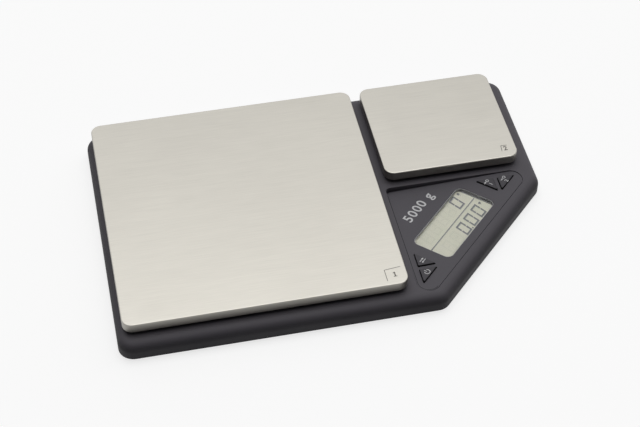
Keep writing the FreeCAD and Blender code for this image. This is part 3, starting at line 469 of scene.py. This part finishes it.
def platformTop(size):
    # the steel cap with its top skin let down by the depth of the laser mark
    node = nodes[size + "_platform_plate"]
    mesh = node.data.copy()
    topHeight = max(vertex.co.z for vertex in mesh.vertices)
    for vertex in mesh.vertices:
        if vertex.co.z > topHeight - 0.00001:
            vertex.co.z = topHeight - platformMarks["sink"] * mm
    piece = addPiece(size + "PlatformCap", mesh, finishes["platform_steel"], size + "_platform")
    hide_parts(size + "_platform_plate")
    marks = platformMarks[size]
    strokes = [strokeOutline(marks["corner"], marks["across"], platformMarks["line"]),
               strokeOutline(marks["corner"], marks["down"], platformMarks["line"])]
    low, high = topHeight / mm - platformMarks["sink"] - 0.01, topHeight / mm
    addPiece(size + "PlatformCorner", slabMesh(size + "Corner", strokes, low, high), etchFinish,
             size + "_platform")
    if size == "small":
        lettering("smallPlatformNumber", "2", platformMarks["numberHeight"],
                  flatPlace(*marks["number"], topHeight / mm - 0.012), etchFinish, "small_platform",
                  thickness=0.02, weight=0.09)
        return
    x, y = marks["number"]
    tall, thick = platformMarks["numberHeight"], platformMarks["numberLine"]
    figure = [strokeOutline((x, y - tall / 2), (x, y + tall / 2), thick),
              strokeOutline((x - 0.95, y + tall / 2 - 0.85), (x + 0.1, y + tall / 2 - 0.2), thick * 0.8),
              strokeOutline((x - 1.0, y - tall / 2 + 0.2), (x + 1.0, y - tall / 2 + 0.2), thick * 0.8)]
    addPiece("largePlatformNumber", slabMesh("largeNumber", figure, low, high), etchFinish, "large_platform")


platformTop("large")
platformTop("small")
print("platforms ready")


displayLook = {"level": -2.40, "rise": 0.03, "dividerHeight": 18.7, "dividerFrom": -24.9, "dividerTo": 24.9,
               "stroke": 1.0, "lean": 0.20, "parting": 0.28, "digits": (13.1, 21.5, -3.0, 7.4, 8.45),
               "digitSize": (4.7, 8.0),
               "unitHeight": 2.8, "unitUpper": (22.9, 28.4), "unitLower": (22.9, 13.9), "unitWeight": 0.18,
               "dot": 0.9, "dotGap": 1.1, "dividerWide": 0.5, "castU": 0.30, "castV": 0.42}
segmentFinish = printedInk("segmentFinish", {"colour": (0.135, 0.145, 0.158), "vary": 0.05,
                                             "roughness": 0.5, "mottleScale": 1200.0})
# painted light: a pale grey standing in for the display's light on the opening's dark wall
paintedWallLightFinish = mouldedPlastic("paintedWallLightFinish", {"colour": (0.55, 0.55, 0.57), "vary": 0.06, "roughness": 0.4,
                                               "cloudScale": 60.0, "grainScale": 2200.0,
                                               "grainDepth": 0.00001})
borderFinish = printedInk("borderFinish", {"colour": (0.290, 0.290, 0.290), "vary": 0.04,
                                           "roughness": 0.5, "mottleScale": 900.0})
shadowFinish = printedInk("shadowFinish", {"colour": (0.440, 0.435, 0.375), "vary": 0.03,
                                           "roughness": 0.5, "mottleScale": 900.0})
ghostFinish = printedInk("ghostFinish", {"colour": (0.655, 0.648, 0.533), "vary": 0.02,
                                         "roughness": 0.5, "mottleScale": 1200.0})


def digitStrokes(left, bottom, wide, tall, lit, stroke):
    # seven bars, square at the corners and parted at mid height; lit names the bars a to g that are on
    half = stroke / 2
    low, high = tall / 2 - displayLook["parting"], tall / 2 + displayLook["parting"]
    bars = {"a": ((-half, tall), (wide + half, tall)), "b": ((wide, tall - half), (wide, high)),
            "c": ((wide, low), (wide, half)), "d": ((-half, 0), (wide + half, 0)),
            "e": ((0, low), (0, half)), "f": ((0, tall - half), (0, high)),
            "g": ((stroke, tall / 2), (wide - stroke, tall / 2))}
    lean = displayLook["lean"]
    outlines = []
    for letter in lit:
        outline = strokeOutline(bars[letter][0], bars[letter][1], stroke)
        outlines.append([(left + point[0] + lean * point[1], bottom + point[1]) for point in outline])
    return outlines


def displayDigits():
    level = displayLook["level"]
    top = level + displayLook["rise"]
    stroke = displayLook["stroke"]
    upperU, upperV, lowerU, lowerV, pitch = displayLook["digits"]
    wide, tall = displayLook["digitSize"]
    lit = digitStrokes(upperU, upperV, wide, tall, "abcdef", stroke)
    for place in range(3):
        lit += digitStrokes(lowerU + place * pitch, lowerV, wide, tall, "abcdef", stroke)
    dotU = lowerU + wide + displayLook["dotGap"]
    dot = displayLook["dot"]
    lit.append([(dotU, lowerV - 0.5), (dotU + dot, lowerV - 0.5), (dotU + dot, lowerV + 0.4),
                (dotU, lowerV + 0.4)])
    lit.append(strokeOutline((displayLook["dividerFrom"], displayLook["dividerHeight"]),
                             (displayLook["dividerTo"], displayLook["dividerHeight"]),
                             displayLook["dividerWide"]))
    addPiece("displaySegments", slabMesh("displaySegments", lit, level, top, panelFrame), segmentFinish,
             "base")
    # the soft second image that the segments cast on the back of the glass
    cast = [[(u - displayLook["castU"], v - displayLook["castV"]) for u, v in outline] for outline in lit]
    addPiece("displayShadows", slabMesh("displayShadows", cast, level, level + 0.015, panelFrame),
             shadowFinish, "base")
    ghost = []
    for place in range(1, 5):
        ghost += digitStrokes(upperU - place * pitch, upperV, wide, tall, "abcdefg", stroke)
    for place in range(1, 3):
        ghost += digitStrokes(lowerU - place * pitch, lowerV, wide, tall, "abcdefg", stroke)
    addPiece("displayGhosts", slabMesh("displayGhosts", ghost, level, level + 0.01, panelFrame),
             ghostFinish, "base")
    for name, spot in (("displayUnitUpper", "unitUpper"), ("displayUnitLower", "unitLower")):
        lettering(name, "g", displayLook["unitHeight"], panelPlace(*displayLook[spot], top - 0.01),
                  segmentFinish, "base", weight=displayLook["unitWeight"])


def roundedOutline(halfWide, halfTall, corner, centreV):
    # a rectangle with round corners, as points
    points = []
    for cornerIndex, (sideU, sideV) in enumerate(((1, 1), (-1, 1), (-1, -1), (1, -1))):
        for step in range(9):
            angle = math.radians(90 * cornerIndex + 90 * step / 8)
            points.append((sideU * (halfWide - corner) + corner * math.cos(angle),
                           centreV + sideV * (halfTall - corner) + corner * math.sin(angle)))
    return points


def ringPiece(name, outer, inner, low, high, material):
    # a flat closed ring between two outlines
    shape = bmesh.new()
    rings = []
    for outline, level in ((outer, high), (inner, high), (inner, low), (outer, low)):
        rings.append([shape.verts.new(Vector((u, v, level)) * mm) for u, v in outline])
    count = len(outer)
    for ringIndex in range(4):
        ring, following = rings[ringIndex], rings[(ringIndex + 1) % 4]
        for index in range(count):
            after = (index + 1) % count
            shape.faces.new((ring[index], ring[after], following[after], following[index]))
    bmesh.ops.transform(shape, matrix=panelFrame, verts=shape.verts)
    bmesh.ops.recalc_face_normals(shape, faces=shape.faces)
    mesh = bpy.data.meshes.new(name)
    shape.to_mesh(mesh)
    shape.free()
    return addPiece(name, mesh, material, "base")


openingLook = {"centre": 17.9, "halfWide": 26.74, "halfTall": 12.73, "corner": 3.98, "paintedLightWidth": 0.3,
               "paintedLightFrom": -1.58, "paintedLightTo": -0.25, "borderFrom": -2.40, "borderTo": -2.35,
               "borderReach": 0.7, "borderTall": 0.1,
               "border": 1.5, "borderCorner": 2.6}


def openingEdges():
    # painted light: a pale lining ring over the display opening's wall, standing in for the light the display
    # throws on it; and the grey border round the display's viewing area
    wide, tall, corner = openingLook["halfWide"], openingLook["halfTall"], openingLook["corner"]
    centreV, thin, border = openingLook["centre"], openingLook["paintedLightWidth"], openingLook["border"]
    reach = openingLook["borderReach"]
    edge = roundedOutline(wide, tall, corner, centreV)
    ringPiece("openingLining", edge, roundedOutline(wide - thin, tall - thin, corner - thin, centreV),
              openingLook["paintedLightFrom"], openingLook["paintedLightTo"], paintedWallLightFinish)
    ringPiece("displayBorder", roundedOutline(wide + reach, tall + reach, corner, centreV),
              roundedOutline(wide - border, tall - openingLook["borderTall"], openingLook["borderCorner"],
                             centreV),
              openingLook["borderFrom"], openingLook["borderTo"], borderFinish)


displayDigits()
openingEdges()
print("display ready")


keyLegends = {"inkHeight": 0.02, "top": 1.0, "line": 0.42, "numberHeight": 2.3, "numberWeight": 0.05,
              "tare_1_key": ((-0.6, 1.7), (-0.3, -1.6)), "tare_2_key": ((0.4, 1.5), (0.1, -1.4)),
              "powerShift": 0.5, "powerRadius": 1.55, "powerTurn": (-230, 50), "powerBar": (0.4, 2.1),
              "unitReach": 1.9, "unitApart": 0.75, "unitHead": 1.2}
inkFinish = printedInk("paleInkFinish", {"colour": (0.70, 0.70, 0.71), "vary": 0.04, "roughness": 0.45,
                                         "mottleScale": 2200.0})
capacityLook = {"text": "5000 g", "height": 6.0, "place": (-0.6, 41.6, 0.012), "weight": 0.14,
                "spacing": 1.16}
lettering("capacityPrint", capacityLook["text"], capacityLook["height"],
          panelPlace(*capacityLook["place"]), inkFinish, "base", weight=capacityLook["weight"],
          spacing=capacityLook["spacing"])
# painted shadow: near-black for the shadow line by the panel's edge
shadowLineFinish = mouldedPlastic("shadowLineFinish", {"colour": (0.006, 0.006, 0.007), "vary": 0.2, "roughness": 0.7,
                                           "cloudScale": 60.0, "grainScale": 2200.0, "grainDepth": 0.00001})
keyPlaces = {"tare_1_key": (38.09, 16.05), "tare_2_key": (44.84, 9.30), "unit_key": (-36.64, 17.50),
             "power_key": (-43.39, 10.75)}


def legend(name, body, outlines):
    top = keyLegends["top"]
    addPiece(name, slabMesh(name, outlines, top, top + keyLegends["inkHeight"], panelFrame), inkFinish, body)


def powerLegend():
    u, v = keyPlaces["power_key"]
    centreU = u + keyLegends["powerShift"]
    barLow, barHigh = keyLegends["powerBar"]
    strokes = arcStrokes((centreU, v), keyLegends["powerRadius"], *keyLegends["powerTurn"],
                         keyLegends["line"])
    strokes.append(strokeOutline((centreU, v + barLow), (centreU, v + barHigh), keyLegends["line"]))
    legend("powerLegend", "power_key", strokes)


def arrowStrokes(start, end, width, headLength):
    startPoint, endPoint = Vector(start), Vector(end)
    along = (endPoint - startPoint).normalized()
    side = Vector((-along.y, along.x))
    neck = endPoint - along * headLength
    return [strokeOutline(start, tuple(neck), width),
            [tuple(neck + side * headLength * 0.62), tuple(neck - side * headLength * 0.62), tuple(endPoint)]]


def unitLegend():
    u, v = keyPlaces["unit_key"]
    reach, apart, head = keyLegends["unitReach"], keyLegends["unitApart"], keyLegends["unitHead"]
    strokes = arrowStrokes((u - reach, v + apart), (u + reach, v + apart), keyLegends["line"], head)
    strokes += arrowStrokes((u + reach, v - apart), (u - reach, v - apart), keyLegends["line"], head)
    legend("unitLegend", "unit_key", strokes)


def tareLegend(key, number):
    u, v = keyPlaces[key]
    arrowShift, numberShift = keyLegends[key]
    arrowU, arrowV = u + arrowShift[0], v + arrowShift[1]
    strokes = arrowStrokes((arrowU - 2.0, arrowV), (arrowU + 0.1, arrowV), keyLegends["line"], 1.1)
    strokes += arcStrokes((arrowU + 1.4, arrowV), 0.85, 0, 360, keyLegends["line"])
    legend(key + "Arrow", key, strokes)
    lettering(key + "Number", number, keyLegends["numberHeight"],
              panelPlace(u + numberShift[0], v + numberShift[1], keyLegends["top"] + 0.012),
              inkFinish, key, weight=keyLegends["numberWeight"])


shadowLineLook = {"inset": 0.62, "wide": 0.30, "reach": 64.6, "rounding": 6.8, "height": 0.012, "start": 1.5}


def panelSeam():
    # painted shadow: a fine near-black line along the panel's edge beside the large platform and round its
    # end
    outer = shadowLineLook["reach"] - shadowLineLook["inset"] * math.sqrt(2)
    radius = shadowLineLook["rounding"] - shadowLineLook["inset"]
    centre = (-(outer - shadowLineLook["rounding"] - radius * math.sqrt(2)), shadowLineLook["rounding"])
    path = [(-shadowLineLook["start"], outer - shadowLineLook["start"])]
    for step in range(15):
        angle = math.radians(135 + 135 * step / 14)
        path.append((centre[0] + radius * math.cos(angle), centre[1] + radius * math.sin(angle)))
    outlines = []
    for index in range(len(path) - 1):
        outlines.append(strokeOutline(path[index], path[index + 1], shadowLineLook["wide"]))
    addPiece("panelSeam", slabMesh("panelSeam", outlines, 0.0, shadowLineLook["height"], panelFrame), shadowLineFinish,
             "base")


panelSeam()
powerLegend()
unitLegend()
tareLegend("tare_1_key", "1")
tareLegend("tare_2_key", "2")
print("printing ready")


studio = {"floorRadius": 6.0, "floorShare": 0.34, "floorWhite": 0.76, "floorPaper": 0.25,
          "low": 0.64, "high": 1.30, "front": 0.04, "shinyFront": 0.70, "left": 0.12, "lampPower": 8.5,
          "lampSize": 1.7, "lampPlace": (0.10, 0.35, 1.9)}


def seenRay(tree):
    path = tree.nodes.new("ShaderNodeLightPath")
    shiny = sums(tree, "MAXIMUM", path.outputs["Is Glossy Ray"], path.outputs["Is Transmission Ray"])
    return sums(tree, "MAXIMUM", path.outputs["Is Camera Ray"], shiny), path


def makeFloor():
    shape = bmesh.new()
    bmesh.ops.create_circle(shape, cap_ends=True, cap_tris=False, segments=96, radius=studio["floorRadius"])
    mesh = bpy.data.meshes.new("studioFloor")
    shape.to_mesh(mesh)
    shape.free()
    material = bpy.data.materials.new("paperFloor")
    material.use_nodes = True
    tree = material.node_tree
    for node in list(tree.nodes):
        if node.type != "OUTPUT_MATERIAL":
            tree.nodes.remove(node)
    output = [node for node in tree.nodes if node.type == "OUTPUT_MATERIAL"][0]
    paper = tree.nodes.new("ShaderNodeBsdfDiffuse")
    fibre = cloud(tree, gridPosition(tree, (1.0, 1.0, 1.0)), 40.0, 2.0)
    feed(tree, twoTone(tree, fibre, (studio["floorPaper"],) * 3, (studio["floorPaper"] + 0.02,) * 3),
         paper.inputs["Color"])
    faint = tree.nodes.new("ShaderNodeBsdfDiffuse")
    faint.inputs["Color"].default_value = (studio["floorShare"],) * 3 + (1.0,)
    glow = tree.nodes.new("ShaderNodeEmission")
    glow.inputs["Strength"].default_value = studio["floorWhite"]
    white = tree.nodes.new("ShaderNodeAddShader")
    feed(tree, faint.outputs[0], white.inputs[0])
    feed(tree, glow.outputs[0], white.inputs[1])
    seen, path = seenRay(tree)
    chooser = tree.nodes.new("ShaderNodeMixShader")
    feed(tree, seen, chooser.inputs[0])
    feed(tree, paper.outputs[0], chooser.inputs[1])
    feed(tree, white.outputs[0], chooser.inputs[2])
    feed(tree, chooser.outputs[0], output.inputs["Surface"])
    floor = bpy.data.objects.new("studioFloor", mesh)
    bpy.context.scene.collection.objects.link(floor)
    mesh.materials.append(material)


def makeSky():
    world = bpy.data.worlds.new("studioSky")
    bpy.context.scene.world = world
    world.use_nodes = True
    tree = world.node_tree
    background = tree.nodes["Background"]
    background.inputs["Color"].default_value = (1.0, 1.0, 1.0, 1.0)
    place = tree.nodes.new("ShaderNodeTexCoord")
    split = tree.nodes.new("ShaderNodeSeparateXYZ")
    feed(tree, place.outputs["Generated"], split.inputs[0])
    rise = spread(tree, split.outputs["Z"], studio["low"], studio["high"], 0.55, 0.95)
    back = spread(tree, split.outputs["Y"], studio["front"], 1.0, -0.30, 0.35)
    left = spread(tree, split.outputs["X"], studio["left"], 1.0, -0.75, -0.10)
    level = sums(tree, "MULTIPLY", sums(tree, "MULTIPLY", rise, back), left)
    # camera, glossy and transmission rays see the white backdrop, which metal shows a little shaded
    seen, path = seenRay(tree)
    clearRay = sums(tree, "MAXIMUM", path.outputs["Is Camera Ray"], path.outputs["Is Transmission Ray"])
    shaded = sums(tree, "MULTIPLY", rise, spread(tree, split.outputs["Y"], studio["shinyFront"], 1.0,
                                                 -0.30, 0.35))
    shown = sums(tree, "MAXIMUM", clearRay, sums(tree, "MULTIPLY", shaded, path.outputs["Is Glossy Ray"]))
    lit = sums(tree, "MULTIPLY", level, sums(tree, "SUBTRACT", 1.0, seen))
    feed(tree, sums(tree, "ADD", lit, shown), background.inputs["Strength"])


def makeLamp(name, place, power, size):
    lamp = bpy.data.lights.new(name, "AREA")
    lamp.energy = power
    lamp.shape = "RECTANGLE"
    lamp.size = size
    lamp.size_y = size * 0.7
    holder = bpy.data.objects.new(name, lamp)
    bpy.context.scene.collection.objects.link(holder)
    holder.location = place
    holder.rotation_euler = (Vector(place) * -1).to_track_quat("-Z", "Y").to_euler()


cameraLook = {"lens": 89.16, "sensor": 36.0, "place": (-0.13608, -0.62855, 0.68314),
              "turn": (43.3699, -0.2035, -11.8342)}


def makeCamera():
    lens = bpy.data.cameras.new("studioCamera")
    lens.lens = cameraLook["lens"]
    lens.sensor_width = cameraLook["sensor"]
    lens.clip_start = 0.05
    lens.clip_end = 50.0
    camera = bpy.data.objects.new("studioCamera", lens)
    bpy.context.scene.collection.objects.link(camera)
    camera.location = cameraLook["place"]
    camera.rotation_euler = Euler([math.radians(angle) for angle in cameraLook["turn"]])
    bpy.context.scene.camera = camera


makeFloor()
makeSky()
makeLamp("overheadSoftbox", studio["lampPlace"], studio["lampPower"], studio["lampSize"])
makeCamera()
bpy.context.scene.view_settings.view_transform = "Standard"
print("studio ready")
